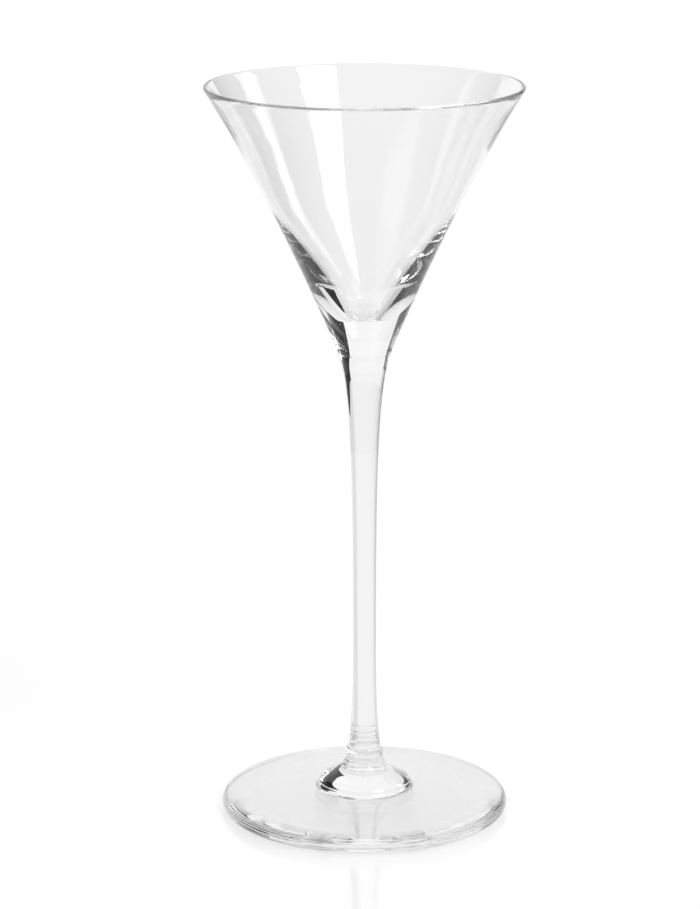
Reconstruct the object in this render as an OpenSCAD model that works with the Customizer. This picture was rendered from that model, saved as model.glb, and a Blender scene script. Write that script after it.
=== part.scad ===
// Stemmed liqueur glass: a V-shaped blown bowl on a slender drawn stem, fused to a round spun foot.
// Three gathers of clear glass, each a body of revolution about Z, with the table at Z = 0.
// The bowl's rounded base seats in the cup of the stem's head, and the stem's rounded end seats
// in the socket on top of the foot's hub.

/* [Overall] */
// Height of the glass, from the table to the rim
glass_height = 178; // [160:1:220]

/* [Bowl] */
// Outside diameter of the rim
rim_diameter = 75.4; // [60:0.2:90]
// Wall thickness at the fire-polished rim
rim_wall = 1; // [0.8:0.1:1.8]
// How much more the wall leans at the rim than the straight line from head to rim, in degrees
rim_flare = 6.5; // [4:0.5:12]
// Depth of the bowl inside, from the rim to its bottom
bowl_depth = 54.3; // [48:0.1:60]
// Diameter of the flat bottom inside the bowl
bottom_diameter = 6.2; // [4:0.1:8]
// Radius of the corner round that bottom
bottom_round = 1.8; // [1:0.1:2.4]
// How much more the inside wall leans above that corner than the line from head to rim, in degrees
inside_flare = 11.5; // [0:0.5:12]

/* [Stem] */
// Narrowest diameter of the stem
stem_diameter = 5.6; // [4:0.1:8]
// Height of the narrowest place above the table
waist_height = 44.5; // [35:0.5:65]
// Diameter of the stem's head, where the bowl's base is fused to it
head_diameter = 12.6; // [12:0.1:16]
// Lean of the outside at the head, from the vertical, in degrees
head_angle = 19.5; // [18:0.5:26]
// Glass between the bottom of the bowl's inside and the edge of the head
head_drop = 9.7; // [7:0.1:12]
// Depth of the cup in the stem's head
head_cup = 3; // [1:0.1:5]
// Diameter of the stem's lower end
stem_end_diameter = 7.6; // [6.5:0.1:9]
// Length of the stem's rounded end inside the hub
stem_end_seat = 1.6; // [0.8:0.1:2.5]

/* [Foot] */
// Outside diameter of the foot
foot_diameter = 69.8; // [56:0.2:84]
// Thickness of the foot's rounded edge
foot_edge = 3.4; // [2:0.1:4.4]
// Height of the crease where the hub rises from the foot's top face
crease_height = 5.7; // [5:0.1:7]
// Diameter of the hub at that crease
hub_diameter = 23; // [18:0.2:28]
// Height of the joint between stem and hub
hub_height = 15.6; // [13:0.1:20]
// Diameter of the hub's collar, under the stem
collar_diameter = 8.9; // [8:0.1:11]
// Height of the collar
collar_height = 2; // [1.2:0.1:2.6]
// Width of the flat ring under the foot that stands on the table
rest_ring = 5.7; // [2:0.1:10]
// Depth of the shallow dish inside that ring
dish_depth = 2; // [0.3:0.1:2.5]

/* [Tool marks] */
// Number of rings that the jacks left on the hub
hub_rings = 4; // [0:1:5]
// Number of rings that they left on the stem's lower end
stem_rings = 2; // [0:1:3]
// Distance from ring to ring
ring_pitch = 1; // [0.7:0.05:1.2]
// Depth of a ring
ring_depth = 0.1; // [0.04:0.01:0.15]

/* [Hidden] */
$fn = 128;

// How far each curve keeps its end's direction, as a share of the curve's own span
stem_foot_pull = [0.33, 0.15];
stem_head_pull = [0.55, 0.134];
bowl_out_pull = [0.08, 0.34];
bowl_in_pull = [0.56, 0.58];
hub_pull = [0.53, 0.28];
fillet_pull = [0.4, 0.4];
collar_pull = [0.35, 0.45];

// Lean of the stem at its lower end, of the collar, of the hub under it, and of the hub at its crease
stem_end_angle = 7;
collar_angle = 25;
hub_top_angle = 6;
crease_angle = 24;
// Radius that softens the edge of the stem's lower end and the crease round the hub
stem_end_round = 0.35;
crease_fillet = 1;
// Height of the stem's lowest ring above the joint, and drop of the hub's highest ring below its collar
stem_ring_gap = 3.3;
first_ring_drop = 0.3;
// Half of a ring's width
ring_reach = 0.22;
// Steps along a long curve, along a small round and along the ringed hub
curve_steps = 48;
round_steps = 16;
hub_steps = 90;

rim_r = rim_diameter / 2;
stem_r = stem_diameter / 2;
head_r = head_diameter / 2;
stem_end_r = stem_end_diameter / 2;
foot_r = foot_diameter / 2;
hub_r = hub_diameter / 2;
collar_r = collar_diameter / 2;
edge_r = foot_edge / 2;
dish_r = foot_r - edge_r - rest_ring;

inside_z = glass_height - bowl_depth;
head_z = inside_z - head_drop;
wall_angle = atan2(rim_r - head_r, glass_height - head_z);
rim_angle = wall_angle + rim_flare;
inside_angle = wall_angle + inside_flare;
collar_z = hub_height - collar_height;

// Direction of a wall that leans outwards on its way up, and of one that leans outwards on its way down
function up(angle) = [sin(angle), cos(angle)];
function down(angle) = [sin(angle), -cos(angle)];

// A cubic curve from a to b that leaves a along heading_a and meets b along heading_b
function curve(a, heading_a, b, heading_b, pull, steps) =
    let (span = norm(b - a), c = a + heading_a * span * pull[0], d = b - heading_b * span * pull[1])
    [for (i = [0:steps]) let (t = i / steps, s = 1 - t)
        s * s * s * a + 3 * s * s * t * c + 3 * s * t * t * d + t * t * t * b];

// Points of a circular arc
function arc(centre, radius, from, to, steps) =
    [for (i = [0:steps]) let (angle = from + (to - from) * i / steps) centre + radius * [cos(angle), sin(angle)]];

// A dished seat: an arc from the axis, depth below the edge, out to the edge at radius r and height z
function seat(r, z, depth) =
    let (radius = (r * r + depth * depth) / (2 * depth), half = asin(min(1, r / radius)),
        sweep = depth > r ? 180 - half : half)
    [for (i = [0:round_steps]) let (angle = sweep * i / round_steps)
        i == 0 ? [0, z - depth] : i == round_steps ? [r, z]
        : [radius * sin(angle), z - depth + radius * (1 - cos(angle))]];

// A curve drawn in a little at each of a row of ring heights
function ringed(points, heights) =
    [for (p = points) p - [ring_depth * ring_sum(p[1], heights), 0]];
function ring_sum(z, heights) =
    len(heights) == 0 ? 0 : max([for (h = heights) exp(-pow((z - h) / ring_reach, 2))]);

// The seats shared by two pieces, from the axis outwards
head_seat = seat(head_r, head_z, head_cup);
socket_r = stem_end_r - stem_end_round;
socket_seat = seat(socket_r, hub_height, stem_end_seat);

function reversed(points) = [for (i = [len(points) - 1:-1:0]) points[i]];

// A piece turned about Z from its half section
module turned(section) {
    rotate_extrude() polygon(section);
}

// The blown bowl: outside wall, fire-polished rim, inside wall with a small flat bottom, and a rounded base
module bowl() {
    rim_round = rim_wall / 2;
    rim_centre = [rim_r - rim_round, glass_height - rim_round];
    outside_end = rim_centre + rim_round * [cos(rim_angle), -sin(rim_angle)];
    inside_start = rim_centre - rim_round * [cos(rim_angle), -sin(rim_angle)];
    corner = [bottom_diameter / 2, inside_z + bottom_round];
    inside_end = corner + bottom_round * [cos(inside_angle), -sin(inside_angle)];
    outside = curve([head_r, head_z], up(head_angle), outside_end, up(rim_angle), bowl_out_pull, curve_steps);
    rim = arc(rim_centre, rim_round, -rim_angle, 180 - rim_angle, round_steps);
    inside = curve(inside_start, -up(rim_angle), inside_end, -up(inside_angle), bowl_in_pull, curve_steps);
    bottom = arc(corner, bottom_round, -inside_angle, -90, round_steps);
    color("whitesmoke", 0.35) turned(concat(
        head_seat,
        [for (i = [1:curve_steps - 1]) outside[i]],
        rim,
        [for (i = [1:curve_steps - 1]) inside[i]],
        bottom,
        [[0, inside_z]]
    ));
}

// The drawn stem: a slim shank that swells to a cupped head above and to a rounded end below
module stem() {
    waist = [stem_r, waist_height];
    end_top = [stem_end_r, hub_height + stem_end_round];
    end_round = arc([socket_r, hub_height + stem_end_round], stem_end_round, -90, 0, round_steps / 2);
    lower = curve(end_top, [-sin(stem_end_angle), cos(stem_end_angle)], waist, up(0), stem_foot_pull, hub_steps);
    upper = curve(waist, up(0), [head_r, head_z], up(head_angle), stem_head_pull, curve_steps);
    ring_heights = [for (i = [0:1:stem_rings - 1]) hub_height + stem_ring_gap + i * ring_pitch];
    marked = ringed(lower, ring_heights);
    color("whitesmoke", 0.35) turned(concat(
        socket_seat,
        [for (i = [1:len(end_round) - 1]) end_round[i]],
        [for (i = [1:hub_steps - 1]) marked[i]],
        [for (i = [0:curve_steps - 1]) upper[i]],
        reversed(head_seat)
    ));
}

// The spun foot: a disc with a rounded edge and a dished underside, rising to a ringed hub with a socket
module foot() {
    edge_centre = [foot_r - edge_r, edge_r];
    crease = [hub_r, crease_height];
    collar_top = [socket_r, hub_height];
    top_fall = atan2(crease_height - foot_edge, edge_centre[0] - hub_r);
    // The rounded edge ends where it has the top face's own slope
    edge = arc(edge_centre, edge_r, -90, 90 - top_fall, round_steps);
    fillet_out = crease + crease_fillet * [cos(top_fall), -sin(top_fall)];
    fillet_in = crease - crease_fillet * down(crease_angle);
    fillet = curve(fillet_out, [-cos(top_fall), sin(top_fall)], fillet_in, -down(crease_angle),
        fillet_pull, round_steps / 2);
    hub = reversed(curve([collar_r, collar_z], down(hub_top_angle), fillet_in, down(crease_angle),
        hub_pull, hub_steps));
    ring_heights = [for (i = [0:1:hub_rings - 1]) collar_z - first_ring_drop - i * ring_pitch];
    marked = ringed(hub, ring_heights);
    collar = curve([collar_r, collar_z], up(collar_angle), collar_top, [-1, 0], collar_pull, round_steps);
    dish = seat(dish_r, 0, dish_depth);
    color("whitesmoke", 0.35) turned(concat(
        [for (p = dish) [p[0], -p[1]]],
        edge,
        fillet,
        [for (i = [1:hub_steps - 1]) marked[i]],
        collar,
        [for (i = [round_steps - 1:-1:0]) socket_seat[i]]
    ));
}

bowl();
stem();
foot();
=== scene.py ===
"""A clear stemmed liqueur glass: blown bowl, drawn stem and spun foot, on a plain white studio table."""

import math

import bpy
from bpy.props import FloatProperty, FloatVectorProperty, IntProperty, PointerProperty
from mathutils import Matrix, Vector


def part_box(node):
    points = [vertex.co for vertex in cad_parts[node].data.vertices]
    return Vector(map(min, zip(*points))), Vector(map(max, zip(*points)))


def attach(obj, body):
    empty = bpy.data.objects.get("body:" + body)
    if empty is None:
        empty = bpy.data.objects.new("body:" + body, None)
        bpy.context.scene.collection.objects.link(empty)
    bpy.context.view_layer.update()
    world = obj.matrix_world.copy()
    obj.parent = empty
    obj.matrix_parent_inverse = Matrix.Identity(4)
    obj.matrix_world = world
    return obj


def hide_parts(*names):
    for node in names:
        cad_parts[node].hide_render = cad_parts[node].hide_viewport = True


bl_info = {
    "name": "Liqueur Glass",
    "version": (1, 0, 0),
    "blender": (4, 5, 0),
    "location": "View3D > Sidebar > Glass",
    "description": "Models a stemmed liqueur glass piece by piece and sets it in a plain studio",
    "category": "Add Mesh",
}

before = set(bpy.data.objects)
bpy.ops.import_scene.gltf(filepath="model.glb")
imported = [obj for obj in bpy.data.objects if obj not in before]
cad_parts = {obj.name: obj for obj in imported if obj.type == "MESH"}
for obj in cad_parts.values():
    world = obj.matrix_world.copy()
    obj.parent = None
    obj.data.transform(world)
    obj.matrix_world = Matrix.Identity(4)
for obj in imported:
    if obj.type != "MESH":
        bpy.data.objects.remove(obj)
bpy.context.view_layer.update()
BODY = "root"

BOWL_LOW, BOWL_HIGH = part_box("bowl")
STEM_LOW, STEM_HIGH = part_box("stem")
FOOT_LOW, FOOT_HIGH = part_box("foot")

# Steps of a mesh: round the axis, along a long curve, along a small round and along a ringed stretch
SPIN_STEPS = 256
CURVE_STEPS = 64
ROUND_STEPS = 20
RING_STEPS = 260
# Points closer than this are one point
MERGE = 1e-6
# Edges sharper than this stay sharp
SMOOTH_ANGLE = math.radians(40)

# Height of the photo in pixels, and of the camera's sensor in millimetres
PHOTO_HEIGHT = 909
SENSOR_HEIGHT = 36
# Light that the thin wall guides down to the base bounces very often, and may cross the seams many times
BOUNCES = 256
SEAM_BOUNCES = 64


def length(name, description, default):
    """A size in metres that a user may change."""
    return FloatProperty(
        name=name, description=description, default=default, min=0, precision=5, unit="LENGTH"
    )


def lean(name, description, default):
    """A lean in degrees, kept as an angle."""
    return FloatProperty(
        name=name, description=description, default=math.radians(default), subtype="ANGLE"
    )


def share(name, description, default):
    """A pair of shares of a curve's span."""
    return FloatVectorProperty(name=name, description=description, default=default, size=2, min=0, max=1)


def level(name, description, default):
    """A brightness, a share or a count that is never below zero."""
    return FloatProperty(name=name, description=description, default=default, min=0)


def between(name, description, default):
    """The two values between which something changes."""
    return FloatVectorProperty(name=name, description=description, default=default, size=2)


def wave_counts(name, default):
    """Waves per metre along X, Y and Z."""
    return FloatVectorProperty(name=name, description="Waves per metre", default=default, size=3)


def colour(name, description, default):
    """A colour that a user may change."""
    return FloatVectorProperty(name=name, description=description, default=default, size=3, subtype="COLOR")


class BowlSizes(bpy.types.PropertyGroup):
    """Sizes of the blown bowl."""

    rim_height: length("Rim height", "Height of the rim above the table", BOWL_HIGH.z)
    rim_radius: length("Rim radius", "Outside radius of the rim", BOWL_HIGH.x)
    rim_wall: length("Rim wall", "Wall thickness at the fire-polished rim", 0.001)
    rim_flare: lean("Rim flare", "Extra lean of the wall at the rim, over the line from head to rim", 6.5)
    depth: length("Depth", "Depth of the bowl inside", 0.0543)
    bottom_radius: length("Bottom radius", "Radius of the flat bottom inside", 0.0031)
    bottom_round: length("Bottom round", "Radius of the corner round that bottom", 0.0018)
    inside_flare: lean("Inside flare", "Extra lean of the inside wall above that corner", 11.5)
    outside_pull: share("Outside pull", "How far the outside keeps its ends' directions", (0.08, 0.34))
    inside_pull: share("Inside pull", "How far the inside keeps its ends' directions", (0.56, 0.58))


class StemSizes(bpy.types.PropertyGroup):
    """Sizes of the drawn stem."""

    head_height: length("Head height", "Height of the seam between bowl and stem", STEM_HIGH.z)
    head_radius: length("Head radius", "Radius of the stem's head at that seam", STEM_HIGH.x)
    head_cup: length("Head cup", "Depth of the cup that takes the bowl's base", STEM_HIGH.z - BOWL_LOW.z)
    head_angle: lean("Head lean", "Lean of the outside at the head", 19.5)
    waist_radius: length("Waist radius", "Radius of the narrowest place", 0.0028)
    waist_height: length("Waist height", "Height of the narrowest place", 0.0445)
    end_radius: length("End radius", "Radius of the lower end", 0.0038)
    end_round: length("End round", "Radius that softens the edge of the lower end", 0.00035)
    end_angle: lean("End lean", "Lean of the stem at its lower end", 7)
    end_seat: length("End seat", "Length of the rounded end inside the hub", FOOT_HIGH.z - STEM_LOW.z)
    foot_pull: share("Foot pull", "How far the lower stretch keeps its ends' directions", (0.33, 0.15))
    head_pull: share("Head pull", "How far the upper stretch keeps its ends' directions", (0.55, 0.134))
    ring_gap: length("Ring gap", "Height of the lowest tool ring above the joint", 0.0033)
    rings: IntProperty(name="Rings", description="Number of tool rings at the lower end", default=2, min=0)


class FootSizes(bpy.types.PropertyGroup):
    """Sizes of the spun foot."""

    radius: length("Radius", "Outside radius of the foot", FOOT_HIGH.x)
    edge: length("Edge", "Thickness of the rounded edge", 0.0034)
    crease_height: length("Crease height", "Height of the crease round the hub", 0.0057)
    crease_radius: length("Crease radius", "Radius of the hub at the crease", 0.0115)
    crease_fillet: length("Crease fillet", "Radius that softens the crease", 0.001)
    fillet_pull: share("Fillet pull", "How far that fillet keeps its ends' directions", (0.4, 0.4))
    crease_angle: lean("Crease lean", "Lean of the hub at the crease", 24)
    hub_height: length("Hub height", "Height of the joint between stem and hub", FOOT_HIGH.z)
    hub_angle: lean("Hub lean", "Lean of the hub under its collar", 6)
    hub_pull: share("Hub pull", "How far the hub keeps its ends' directions", (0.53, 0.28))
    collar_radius: length("Collar radius", "Radius of the collar under the stem", 0.00445)
    collar_height: length("Collar height", "Height of the collar", 0.002)
    collar_angle: lean("Collar lean", "Lean of the collar's lower edge", 25)
    collar_pull: share("Collar pull", "How far the collar keeps its ends' directions", (0.35, 0.45))
    rest_ring: length("Rest ring", "Width of the flat ring that stands on the table", 0.0057)
    dish_depth: length("Dish depth", "Depth of the dish inside that ring", 0.002)
    ring_drop: length("Ring drop", "Drop of the highest tool ring below the collar", 0.0003)
    rings: IntProperty(name="Rings", description="Number of tool rings on the hub", default=4, min=0)
    ring_pitch: length("Ring pitch", "Distance from ring to ring", 0.001)
    ring_depth: length("Ring depth", "Depth of a tool ring", 0.0001)
    ring_reach: length("Ring reach", "Half of a ring's width", 0.00022)


class GlassLook(bpy.types.PropertyGroup):
    """Finish of the clear glass."""

    clear: colour("Clear", "Colour of the clearest glass", (0.997, 0.997, 0.997))
    tinted: colour("Tinted", "Colour of the faintly tinted streaks", (0.989, 0.99, 0.99))
    streaks: level("Streaks", "Tinted streaks per metre", 40)
    index: FloatProperty(name="Index", description="Refractive index of the glass", default=1.52, min=1)
    wave: length("Wave", "Height of the soft waves left by hand work", 0.00001)
    bowl_grain: wave_counts("Bowl grain", (90, 90, 30))
    stem_grain: wave_counts("Stem grain", (120, 120, 20))
    foot_grain: wave_counts("Foot grain", (60, 60, 60))
    specks: level("Specks", "Dull specks per metre", 900)
    speck_edge: between("Speck edge", "Noise at which a speck starts and is dullest", (0.6, 0.9))
    dulling: level("Dulling", "Roughness of the dullest specks", 0.02)


class StudioLook(bpy.types.PropertyGroup):
    """The table, the light and the camera."""

    room: level("Room", "How bright the studio is at the horizon", 0.04)
    ceiling: level("Ceiling", "How bright the studio is high up", 0.75)
    ceiling_rise: between("Ceiling rise", "Sines of the heights between which it brightens", (0.35, 0.95))
    table_size: length("Table size", "Side of the square table", 6)
    table_drop: length("Table drop", "Gap that keeps the table clear of the foot", 0.0001)
    table_albedo: level("Table albedo", "Share of light that the table scatters", 0.45)
    table_gloss: level("Table gloss", "Share of light that the table mirrors", 0.22)
    table_blur: level("Table blur", "Roughness of the table's mirror image", 0.12)
    table_glow: level("Table glow", "Light from the lit table itself", 0.63)
    # Painted shade: on its left, the table's own glow fades from table_glow down to this dim level
    painted_left_glow: level("Left glow", "Light from the table's dim wedge on the left", 0.2)
    left_start: length("Left start", "Depth added to the wedge's slopes, which blunts its tip", 0.1)
    left_fade: between("Left fade", "Slopes between which the table's light fades", (-0.2, -1.5))
    camera_glow: level("Camera glow", "Table light that the camera sees", 0.745)
    camera_place: FloatVectorProperty(
        name="Camera place", description="Where the camera stands", default=(0, -0.776, 0.2885),
        size=3, subtype="TRANSLATION",
    )
    camera_pitch: lean("Camera pitch", "How far the camera looks down", 14.42)
    axis_px: FloatProperty(name="Axis place", description="Pixels from the middle to the axis", default=14.5)
    focal_px: level("Focal length", "Focal length in pixels of the photo", 3340)


def up(angle):
    """Heading of a wall that leans outwards on its way up."""
    return Vector((math.sin(angle), math.cos(angle)))


def down(angle):
    """Heading of a wall that leans outwards on its way down."""
    return Vector((math.sin(angle), -math.cos(angle)))


def curve(start, start_heading, end, end_heading, pull, steps):
    """Points of a cubic curve that leaves start and meets end along the given headings."""
    span = (end - start).length
    first = start + start_heading * span * pull[0]
    second = end - end_heading * span * pull[1]
    points = []
    for step in range(steps + 1):
        t = step / steps
        s = 1 - t
        points.append(s**3 * start + 3 * s * s * t * first + 3 * s * t * t * second + t**3 * end)
    return points


def arc(centre, radius, start, end, steps):
    """Points of a circular arc between two angles."""
    points = []
    for step in range(steps + 1):
        angle = start + (end - start) * step / steps
        points.append(centre + radius * Vector((math.cos(angle), math.sin(angle))))
    return points


def seat(radius, height, depth):
    """Points of a dished seat, from the axis out to its edge at the given radius and height."""
    ball = (radius * radius + depth * depth) / (2 * depth)
    centre = Vector((0, height - depth + ball))
    sweep = math.asin(min(1, radius / ball))
    if depth > radius:
        sweep = math.pi - sweep
    points = arc(centre, ball, -math.pi / 2, sweep - math.pi / 2, ROUND_STEPS)
    points[0] = Vector((0, height - depth))
    points[-1] = Vector((radius, height))
    return points


def ringed(points, heights, depth, reach):
    """The same points, drawn in a little at each ring's height."""
    marked = []
    for point in points:
        pull_in = sum(math.exp(-(((point.y - height) / reach) ** 2)) for height in heights)
        marked.append(point - Vector((depth * pull_in, 0)))
    return marked


def chain(*stretches):
    """One outline from stretches that meet end to end, with no point twice."""
    points = []
    for stretch in stretches:
        for point in stretch:
            if not points or (point - points[-1]).length > MERGE:
                points.append(point)
    return points


def turned(name, section):
    """A closed piece spun about the axis from its half section of (radius, height) points."""
    bpy.ops.object.select_all(action="DESELECT")
    bpy.ops.mesh.primitive_plane_add(size=MERGE)
    piece = bpy.context.object
    piece.name = name
    piece.data.name = name
    bpy.ops.object.mode_set(mode="EDIT")
    bpy.ops.mesh.select_all(action="SELECT")
    bpy.ops.mesh.merge(type="CENTER")
    bpy.ops.transform.translate(value=(section[0].x, 0, section[0].y))
    for before, after in zip(section, section[1:]):
        step = (after.x - before.x, 0, after.y - before.y)
        bpy.ops.mesh.extrude_region_move(TRANSFORM_OT_translate={"value": step})
    bpy.ops.object.mode_set(mode="OBJECT")
    bpy.ops.object.modifier_add(type="SCREW")
    lathe = piece.modifiers[-1]
    lathe.steps = SPIN_STEPS
    lathe.render_steps = SPIN_STEPS
    lathe.use_merge_vertices = True
    lathe.merge_threshold = MERGE
    bpy.ops.object.modifier_apply(modifier=lathe.name)
    bpy.ops.object.mode_set(mode="EDIT")
    bpy.ops.mesh.select_all(action="SELECT")
    bpy.ops.mesh.remove_doubles(threshold=MERGE)
    bpy.ops.mesh.normals_make_consistent(inside=False)
    bpy.ops.object.mode_set(mode="OBJECT")
    bpy.ops.object.shade_smooth_by_angle(angle=SMOOTH_ANGLE)
    return piece


def dress(piece, glass, seam, in_seam):
    """Gives a piece its glass, and the fused seam to the faces that in_seam picks by place and normal."""
    piece.data.materials.append(glass)
    piece.data.materials.append(seam)
    for face in piece.data.polygons:
        face.material_index = 1 if in_seam(face.center, face.normal) else 0


def outside_wall(sizes):
    """Lean of the straight line from the stem's head to the rim."""
    bowl = sizes.bowl
    stem = sizes.stem
    return math.atan2(bowl.rim_radius - stem.head_radius, bowl.rim_height - stem.head_height)


def bowl_section(sizes):
    """Half section of the bowl: seat, outside, fire-polished rim, inside and flat bottom."""
    bowl = sizes.bowl
    stem = sizes.stem
    rim_lean = outside_wall(sizes) + bowl.rim_flare
    inside_lean = outside_wall(sizes) + bowl.inside_flare
    rim_round = bowl.rim_wall / 2
    rim_centre = Vector((bowl.rim_radius - rim_round, bowl.rim_height - rim_round))
    across_rim = rim_round * Vector((math.cos(rim_lean), -math.sin(rim_lean)))
    outside_end = rim_centre + across_rim
    inside_start = rim_centre - across_rim
    bottom = bowl.rim_height - bowl.depth
    corner = Vector((bowl.bottom_radius, bottom + bowl.bottom_round))
    corner_top = corner + bowl.bottom_round * Vector((math.cos(inside_lean), -math.sin(inside_lean)))
    head = Vector((stem.head_radius, stem.head_height))
    return chain(
        seat(stem.head_radius, stem.head_height, stem.head_cup),
        curve(head, up(stem.head_angle), outside_end, up(rim_lean), bowl.outside_pull, CURVE_STEPS),
        arc(rim_centre, rim_round, -rim_lean, math.pi - rim_lean, ROUND_STEPS),
        curve(inside_start, -up(rim_lean), corner_top, -up(inside_lean), bowl.inside_pull, CURVE_STEPS),
        arc(corner, bowl.bottom_round, -inside_lean, -math.pi / 2, ROUND_STEPS),
        [Vector((0, bottom))],
    )


def socket_radius(sizes):
    """Radius of the flat joint between the stem's lower end and the hub."""
    return sizes.stem.end_radius - sizes.stem.end_round


def stem_section(sizes):
    """Half section of the stem: rounded end, lower stretch with tool rings, flare and cupped head."""
    stem = sizes.stem
    foot = sizes.foot
    joint = foot.hub_height
    end_centre = Vector((socket_radius(sizes), joint + stem.end_round))
    end_top = Vector((stem.end_radius, joint + stem.end_round))
    waist = Vector((stem.waist_radius, stem.waist_height))
    head = Vector((stem.head_radius, stem.head_height))
    ring_heights = [joint + stem.ring_gap + ring * foot.ring_pitch for ring in range(stem.rings)]
    lower = curve(end_top, up(-stem.end_angle), waist, up(0), stem.foot_pull, RING_STEPS)
    return chain(
        seat(socket_radius(sizes), joint, stem.end_seat),
        arc(end_centre, stem.end_round, -math.pi / 2, 0, ROUND_STEPS),
        ringed(lower, ring_heights, foot.ring_depth, foot.ring_reach),
        curve(waist, up(0), head, up(stem.head_angle), stem.head_pull, CURVE_STEPS),
        list(reversed(seat(stem.head_radius, stem.head_height, stem.head_cup))),
    )


def foot_section(sizes):
    """Half section of the foot: dish, rounded edge, top face, crease, ringed hub, collar and socket."""
    foot = sizes.foot
    edge_round = foot.edge / 2
    edge_centre = Vector((foot.radius - edge_round, edge_round))
    crease = Vector((foot.crease_radius, foot.crease_height))
    fall = math.atan2(crease.y - foot.edge, edge_centre.x - crease.x)
    inwards = Vector((-math.cos(fall), math.sin(fall)))
    fillet_out = crease - foot.crease_fillet * inwards
    hub_end = down(foot.crease_angle)
    fillet_in = crease - foot.crease_fillet * hub_end
    collar_foot = Vector((foot.collar_radius, foot.hub_height - foot.collar_height))
    collar_top = Vector((socket_radius(sizes), foot.hub_height))
    to_axis = Vector((-1, 0))
    hub = curve(collar_foot, down(foot.hub_angle), fillet_in, hub_end, foot.hub_pull, RING_STEPS)
    first_ring = collar_foot.y - foot.ring_drop
    ring_heights = [first_ring - ring * foot.ring_pitch for ring in range(foot.rings)]
    dish = seat(edge_centre.x - foot.rest_ring, 0, foot.dish_depth)
    socket = seat(socket_radius(sizes), foot.hub_height, sizes.stem.end_seat)
    return chain(
        [Vector((point.x, -point.y)) for point in dish],
        arc(edge_centre, edge_round, -math.pi / 2, math.pi / 2 - fall, ROUND_STEPS),
        curve(fillet_out, inwards, fillet_in, -hub_end, foot.fillet_pull, ROUND_STEPS),
        list(reversed(ringed(hub, ring_heights, foot.ring_depth, foot.ring_reach))),
        curve(collar_foot, up(foot.collar_angle), collar_top, to_axis, foot.collar_pull, ROUND_STEPS),
        list(reversed(socket)),
    )


def glass_material(name, look, grain):
    """Clear glass with a faint cloudy tint, soft waves drawn out along its grain, and dull specks."""
    material = bpy.data.materials.new(name)
    material.use_nodes = True
    nodes = material.node_tree.nodes
    links = material.node_tree.links
    shader = nodes["Principled BSDF"]
    shader.inputs["IOR"].default_value = look.index
    shader.inputs["Transmission Weight"].default_value = 1
    place = nodes.new("ShaderNodeTexCoord")
    streaks = nodes.new("ShaderNodeTexNoise")
    streaks.inputs["Scale"].default_value = look.streaks
    links.new(place.outputs["Object"], streaks.inputs["Vector"])
    tint = nodes.new("ShaderNodeValToRGB")
    tint.color_ramp.elements[0].color = (*look.clear, 1)
    tint.color_ramp.elements[1].color = (*look.tinted, 1)
    links.new(streaks.outputs["Fac"], tint.inputs["Fac"])
    links.new(tint.outputs["Color"], shader.inputs["Base Color"])
    drawn = nodes.new("ShaderNodeVectorMath")
    drawn.operation = "MULTIPLY"
    drawn.inputs[1].default_value = grain
    links.new(place.outputs["Object"], drawn.inputs[0])
    waves = nodes.new("ShaderNodeTexNoise")
    waves.inputs["Detail"].default_value = 1
    links.new(drawn.outputs["Vector"], waves.inputs["Vector"])
    relief = nodes.new("ShaderNodeBump")
    relief.inputs["Strength"].default_value = 1
    relief.inputs["Distance"].default_value = look.wave
    links.new(waves.outputs["Fac"], relief.inputs["Height"])
    links.new(relief.outputs["Normal"], shader.inputs["Normal"])
    specks = nodes.new("ShaderNodeTexNoise")
    specks.inputs["Scale"].default_value = look.specks
    links.new(place.outputs["Object"], specks.inputs["Vector"])
    dulling = nodes.new("ShaderNodeMapRange")
    dulling.inputs["From Min"].default_value = look.speck_edge[0]
    dulling.inputs["From Max"].default_value = look.speck_edge[1]
    dulling.inputs["To Max"].default_value = look.dulling
    links.new(specks.outputs["Fac"], dulling.inputs["Value"])
    links.new(dulling.outputs["Result"], shader.inputs["Roughness"])
    return material


def seam_material():
    """The fused seam, where glass runs on into glass with no surface between."""
    material = bpy.data.materials.new("fused_seam")
    material.use_nodes = True
    nodes = material.node_tree.nodes
    nodes.remove(nodes["Principled BSDF"])
    clear = nodes.new("ShaderNodeBsdfTransparent")
    material.node_tree.links.new(clear.outputs["BSDF"], nodes["Material Output"].inputs["Surface"])
    return material


def material_named(name, make, *args):
    """The material of that name, made on first use."""
    return bpy.data.materials.get(name) or make(*args)


def hand_over(piece, node):
    """Lets a finished piece stand for its CAD node."""
    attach(piece, BODY)
    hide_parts(node)


class GLASS_OT_bowl(bpy.types.Operator):
    """Turn the blown bowl"""

    bl_idname = "glass.bowl"
    bl_label = "Add Bowl"

    def execute(self, context):
        sizes = context.scene.liqueur_glass
        piece = turned("blown_bowl", bowl_section(sizes))
        seam_height = sizes.stem.head_height
        dress(
            piece,
            glass_material("bowl_glass", sizes.look, sizes.look.bowl_grain),
            material_named("fused_seam", seam_material),
            lambda centre, normal: centre.z < seam_height,
        )
        hand_over(piece, "bowl")
        return {"FINISHED"}


class GLASS_OT_stem(bpy.types.Operator):
    """Turn the drawn stem"""

    bl_idname = "glass.stem"
    bl_label = "Add Stem"

    def execute(self, context):
        sizes = context.scene.liqueur_glass
        piece = turned("drawn_stem", stem_section(sizes))
        cup_bottom = sizes.stem.head_height - sizes.stem.head_cup - MERGE
        joint = sizes.foot.hub_height
        dress(
            piece,
            glass_material("stem_glass", sizes.look, sizes.look.stem_grain),
            material_named("fused_seam", seam_material),
            lambda centre, normal: centre.z < joint or (centre.z > cup_bottom and normal.z > 0),
        )
        hand_over(piece, "stem")
        return {"FINISHED"}


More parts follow.
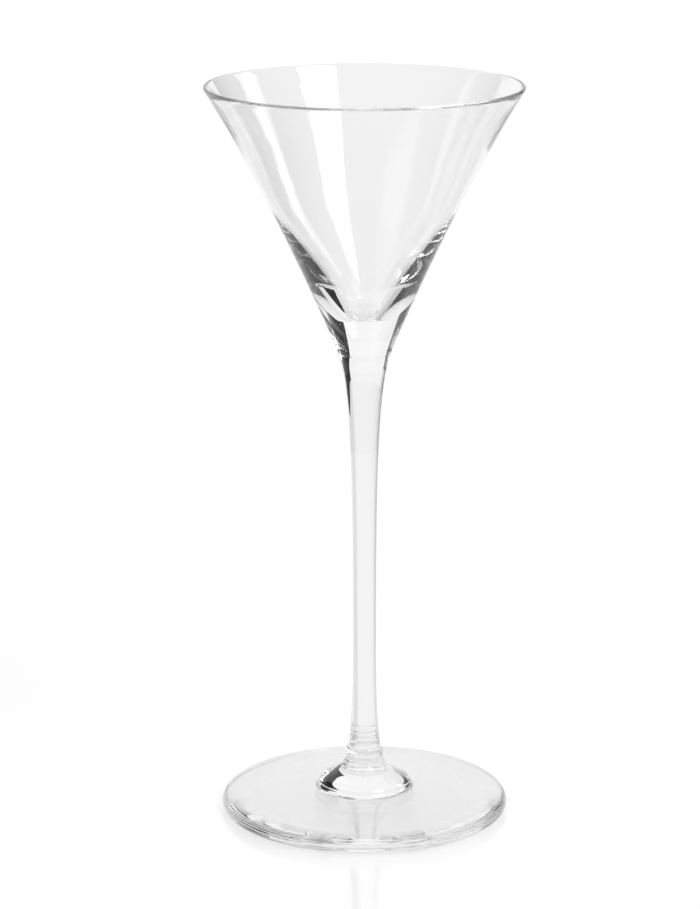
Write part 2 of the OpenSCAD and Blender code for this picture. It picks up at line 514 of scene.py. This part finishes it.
class GLASS_OT_foot(bpy.types.Operator):
    """Turn the spun foot"""

    bl_idname = "glass.foot"
    bl_label = "Add Foot"

    def execute(self, context):
        sizes = context.scene.liqueur_glass
        piece = turned("spun_foot", foot_section(sizes))
        reach = socket_radius(sizes)
        socket_bottom = sizes.foot.hub_height - sizes.stem.end_seat - MERGE
        dress(
            piece,
            glass_material("foot_glass", sizes.look, sizes.look.foot_grain),
            material_named("fused_seam", seam_material),
            lambda centre, normal: centre.z > socket_bottom and centre.xy.length < reach,
        )
        hand_over(piece, "foot")
        return {"FINISHED"}


def glow_material(name, strength):
    """An even white glow, or the black of a flag at strength 0."""
    material = bpy.data.materials.new(name)
    material.use_nodes = True
    nodes = material.node_tree.nodes
    nodes.remove(nodes["Principled BSDF"])
    glow = nodes.new("ShaderNodeEmission")
    glow.inputs["Strength"].default_value = strength
    material.node_tree.links.new(glow.outputs["Emission"], nodes["Material Output"].inputs["Surface"])
    return material


def table_material(studio):
    """A glossy white table with painted shade on its left, and the glass's shadow and faint mirror image."""
    material = bpy.data.materials.new("table_white")
    material.use_nodes = True
    nodes = material.node_tree.nodes
    links = material.node_tree.links
    nodes.remove(nodes["Principled BSDF"])
    scatter = nodes.new("ShaderNodeBsdfDiffuse")
    scatter.inputs["Color"].default_value = (*[studio.table_albedo] * 3, 1)
    glow = nodes.new("ShaderNodeEmission")
    lit = nodes.new("ShaderNodeAddShader")
    links.new(scatter.outputs["BSDF"], lit.inputs[0])
    links.new(glow.outputs["Emission"], lit.inputs[1])
    mirror = nodes.new("ShaderNodeBsdfGlossy")
    mirror.inputs["Roughness"].default_value = studio.table_blur
    finish = nodes.new("ShaderNodeMixShader")
    finish.inputs["Fac"].default_value = studio.table_gloss
    links.new(lit.outputs["Shader"], finish.inputs[1])
    links.new(mirror.outputs["BSDF"], finish.inputs[2])
    links.new(finish.outputs["Shader"], nodes["Material Output"].inputs["Surface"])
    place = nodes.new("ShaderNodeTexCoord")
    axes = nodes.new("ShaderNodeSeparateXYZ")
    links.new(place.outputs["Object"], axes.inputs["Vector"])
    ahead = nodes.new("ShaderNodeMath")
    ahead.operation = "ABSOLUTE"
    links.new(axes.outputs["Y"], ahead.inputs[0])
    span = nodes.new("ShaderNodeMath")
    span.operation = "ADD"
    span.inputs[1].default_value = studio.left_start
    links.new(ahead.outputs["Value"], span.inputs[0])
    aside = nodes.new("ShaderNodeMath")
    aside.operation = "DIVIDE"
    links.new(axes.outputs["X"], aside.inputs[0])
    links.new(span.outputs["Value"], aside.inputs[1])
    # Painted shade: the glow that the glass sees and mirrors fades to a dim wedge on the table's left
    fade = nodes.new("ShaderNodeMapRange")
    fade.interpolation_type = "SMOOTHSTEP"
    fade.inputs["From Min"].default_value = studio.left_fade[0]
    fade.inputs["From Max"].default_value = studio.left_fade[1]
    fade.inputs["To Min"].default_value = studio.table_glow
    fade.inputs["To Max"].default_value = studio.painted_left_glow
    links.new(aside.outputs["Value"], fade.inputs["Value"])
    path = nodes.new("ShaderNodeLightPath")
    seen = nodes.new("ShaderNodeMix")
    seen.inputs["B"].default_value = studio.camera_glow
    links.new(path.outputs["Is Camera Ray"], seen.inputs["Factor"])
    links.new(fade.outputs["Result"], seen.inputs["A"])
    links.new(seen.outputs["Result"], glow.inputs["Strength"])
    return material


def studio_world(studio):
    """A room with a bright ceiling and dim walls, which the camera itself sees as white."""
    world = bpy.data.worlds.new("studio")
    world.use_nodes = True
    nodes = world.node_tree.nodes
    links = world.node_tree.links
    room = nodes["Background"]
    room.inputs["Color"].default_value = (1, 1, 1, 1)
    place = nodes.new("ShaderNodeTexCoord")
    axes = nodes.new("ShaderNodeSeparateXYZ")
    links.new(place.outputs["Generated"], axes.inputs["Vector"])
    rise = nodes.new("ShaderNodeMapRange")
    rise.interpolation_type = "SMOOTHSTEP"
    rise.inputs["From Min"].default_value = studio.ceiling_rise[0]
    rise.inputs["From Max"].default_value = studio.ceiling_rise[1]
    rise.inputs["To Min"].default_value = studio.room
    rise.inputs["To Max"].default_value = studio.ceiling
    links.new(axes.outputs["Z"], rise.inputs["Value"])
    links.new(rise.outputs["Result"], room.inputs["Strength"])
    white = nodes.new("ShaderNodeBackground")
    white.inputs["Color"].default_value = (1, 1, 1, 1)
    path = nodes.new("ShaderNodeLightPath")
    choice = nodes.new("ShaderNodeMixShader")
    links.new(path.outputs["Is Camera Ray"], choice.inputs["Fac"])
    links.new(room.outputs["Background"], choice.inputs[1])
    links.new(white.outputs["Background"], choice.inputs[2])
    links.new(choice.outputs["Shader"], nodes["World Output"].inputs["Surface"])
    return world


def sector(azimuths, elevations):
    """Corners of a panel between two azimuths and two elevations."""
    left, right = azimuths
    low, high = elevations
    return (left, low), (right, low), (right, high), (left, high)


# The place that the panels stand round
GLASS_MIDDLE = Vector((0, 0, 0.12))
# Corners of the flag that draws the dark edges, and of the light that draws the bright bands in the bowl
FLAG_CORNERS = (
    (21, 48), (22, 17), (27, 9), (30, 3), (37, -3), (44, -7),
    (52, -9), (59, -8), (63, -3), (60, 12), (56, 48),
)
BAND_CORNERS = ((140, 27), (155, 27), (153, 45), (149, 60), (108, 60), (117, 45), (121, 36))
# Panels round the glass: name, corners as azimuth and elevation from its middle, distance and strength
PANELS = (
    ("backdrop", sector((-45, 31), (-4, 60)), 2.6, 0.95),
    ("left_wall", sector((-57, -45), (-10, 5)), 1.5, 0.6),
    ("right_reflector", sector((63, 80), (-8, 16)), 1.5, 0.9),
    ("right_flag", FLAG_CORNERS, 0.75, 0),
    ("front_softbox", BAND_CORNERS, 1.5, 4),
    ("right_softbox", sector((56, 74), (16, 38)), 1.5, 2.5),
    ("left_softbox", sector((-84, -74), (18, 38)), 1.5, 1),
    ("front_wall", sector((130, 230), (-5, 30)), 1.5, 0.03),
)


def panel(name, corners, distance, strength):
    """A lit panel or a dark flag. Azimuth 0 lies behind the glass, and 90 on its right."""
    places = []
    for azimuth, elevation in corners:
        turn = math.radians(azimuth)
        rise = math.radians(elevation)
        aim = Vector((math.sin(turn) * math.cos(rise), math.cos(turn) * math.cos(rise), math.sin(rise)))
        places.append(GLASS_MIDDLE + distance * aim)
    mesh = bpy.data.meshes.new(name)
    mesh.from_pydata(places, [], [range(len(places))])
    mesh.materials.append(glow_material(name, strength))
    board = bpy.data.objects.new(name, mesh)
    bpy.context.collection.objects.link(board)
    board.visible_camera = False
    board.visible_diffuse = strength > 0
    board.visible_shadow = False


class GLASS_OT_stage(bpy.types.Operator):
    """Set the table, the light and the camera"""

    bl_idname = "glass.stage"
    bl_label = "Set Stage"

    def execute(self, context):
        scene = context.scene
        studio = scene.liqueur_glass.studio
        bpy.ops.object.select_all(action="DESELECT")
        bpy.ops.mesh.primitive_plane_add(size=studio.table_size, location=(0, 0, -studio.table_drop))
        floor = context.object
        floor.name = "table"
        floor.data.materials.append(table_material(studio))
        for each in PANELS:
            panel(*each)
        scene.world = studio_world(studio)

        camera_data = bpy.data.cameras.new("camera")
        camera_data.sensor_fit = "VERTICAL"
        camera_data.sensor_height = SENSOR_HEIGHT
        camera_data.lens = studio.focal_px * SENSOR_HEIGHT / PHOTO_HEIGHT
        camera_data.shift_x = -studio.axis_px / PHOTO_HEIGHT
        camera = bpy.data.objects.new("camera", camera_data)
        camera.location = studio.camera_place
        camera.rotation_euler = (math.pi / 2 - studio.camera_pitch, 0, 0)
        scene.collection.objects.link(camera)
        scene.camera = camera
        scene.view_settings.view_transform = "Standard"
        scene.cycles.max_bounces = BOUNCES
        scene.cycles.transmission_bounces = BOUNCES
        scene.cycles.glossy_bounces = BOUNCES
        scene.cycles.transparent_max_bounces = SEAM_BOUNCES
        return {"FINISHED"}


class LiqueurGlass(bpy.types.PropertyGroup):
    """All that a user may change on the glass and its stage."""

    bowl: PointerProperty(type=BowlSizes)
    stem: PointerProperty(type=StemSizes)
    foot: PointerProperty(type=FootSizes)
    look: PointerProperty(type=GlassLook)
    studio: PointerProperty(type=StudioLook)


class VIEW3D_PT_liqueur_glass(bpy.types.Panel):
    """Lists the glass's pieces and its stage"""

    bl_label = "Liqueur Glass"
    bl_space_type = "VIEW_3D"
    bl_region_type = "UI"
    bl_category = "Glass"

    def draw(self, context):
        column = self.layout.column()
        for operator in (GLASS_OT_bowl, GLASS_OT_stem, GLASS_OT_foot, GLASS_OT_stage):
            column.operator(operator.bl_idname)


CLASSES = (
    BowlSizes, StemSizes, FootSizes, GlassLook, StudioLook, LiqueurGlass,
    GLASS_OT_bowl, GLASS_OT_stem, GLASS_OT_foot, GLASS_OT_stage, VIEW3D_PT_liqueur_glass,
)


def register():
    for each in CLASSES:
        bpy.utils.register_class(each)
    bpy.types.Scene.liqueur_glass = PointerProperty(type=LiqueurGlass)


def unregister():
    del bpy.types.Scene.liqueur_glass
    for each in reversed(CLASSES):
        bpy.utils.unregister_class(each)


def main():
    register()
    bpy.ops.glass.stage()
    bpy.ops.glass.foot()
    bpy.ops.glass.stem()
    bpy.ops.glass.bowl()


if __name__ == "__main__":
    main()
